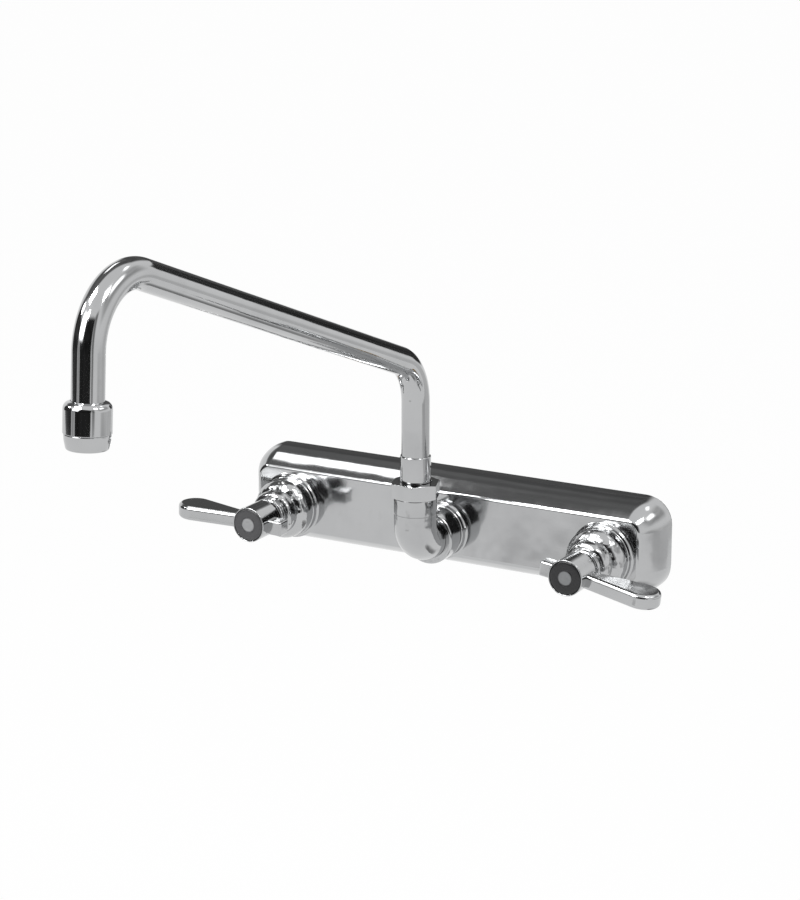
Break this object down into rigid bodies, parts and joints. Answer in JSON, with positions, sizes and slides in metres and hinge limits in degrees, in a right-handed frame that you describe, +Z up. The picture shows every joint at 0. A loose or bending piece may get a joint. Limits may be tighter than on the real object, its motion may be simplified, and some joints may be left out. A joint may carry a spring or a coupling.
{
  "type": "wall faucet",
  "caption": "Splash-mounted commercial kitchen faucet: long cast body flat on the wall, two quarter-turn lever valves and a rising gooseneck swing spout with aerator, all chrome.",
  "frame": {"origin": "on the finished wall plane, midway between the two inlet shanks and at the height of their axes", "axes": "+X along the body to the right as the user sees it, +Y into the wall, +Z up"},
  "size_m": [0.3078, 0.4211, 0.2373],
  "materials": {
    "polished_chrome": "mirror polished chromium plate over brass",
    "raw_brass": "turned brass, unplated",
    "zinc_steel": "bright zinc plated steel",
    "stainless": "stainless steel",
    "black_rubber": "black rubber, matte",
    "ceramic": "lapped white alumina ceramic",
    "white_nylon": "natural white nylon",
    "hot_button_grey": "glossy dark grey plastic, bare",
    "cold_button_black": "glossy near-black plastic, bare"
  },
  "bodies": {
    "body": {"body_casting": "polished_chrome", "wall_gasket": "black_rubber", "hot_shank": "raw_brass", "cold_shank": "raw_brass", "shank_rubber_washers": "black_rubber", "shank_steel_washers": "zinc_steel", "shank_lock_nuts": "raw_brass", "hot_seat_seal": "black_rubber", "cold_seat_seal": "black_rubber", "hot_cartridge": "raw_brass", "cold_cartridge": "raw_brass", "hot_lower_disc": "ceramic", "cold_lower_disc": "ceramic", "hot_bonnet": "polished_chrome", "cold_bonnet": "polished_chrome", "union_washer": "black_rubber", "outlet_elbow": "polished_chrome", "union_nut": "polished_chrome", "packing_nut": "polished_chrome", "friction_washer": "white_nylon"},
    "hot_handle": {"hot_stem": "raw_brass", "hot_stem_seals": "black_rubber", "hot_upper_disc": "ceramic", "hot_lever": "polished_chrome", "hot_lever_screw": "stainless", "hot_index_button": "hot_button_grey"},
    "cold_handle": {"cold_stem": "raw_brass", "cold_stem_seals": "black_rubber", "cold_upper_disc": "ceramic", "cold_lever": "polished_chrome", "cold_lever_screw": "stainless", "cold_index_button": "cold_button_black"},
    "spout": {"spout_swivel": "polished_chrome", "spout_seals": "black_rubber", "spout_spring_ring": "stainless", "spout_tube": "polished_chrome", "outlet_collar": "polished_chrome", "aerator_washer": "black_rubber", "aerator_housing": "polished_chrome", "aerator_insert": "white_nylon", "aerator_screen": "stainless"}
  },
  "joints": [
    {"name": "hot_turn", "type": "hinge", "parent": "body", "child": "hot_handle", "pos_m": [-0.1016, -0.0645, 0], "axis": [0, -1, 0], "range_deg": [0, 90]},
    {"name": "cold_turn", "type": "hinge", "parent": "body", "child": "cold_handle", "pos_m": [0.1016, -0.0645, 0], "axis": [0, 1, 0], "range_deg": [0, 90]},
    {"name": "spout_swing", "type": "hinge", "parent": "body", "child": "spout", "pos_m": [0, -0.0585, 0.05], "axis": [0, 0, 1], "range_deg": [-90, 90]}
  ]
}
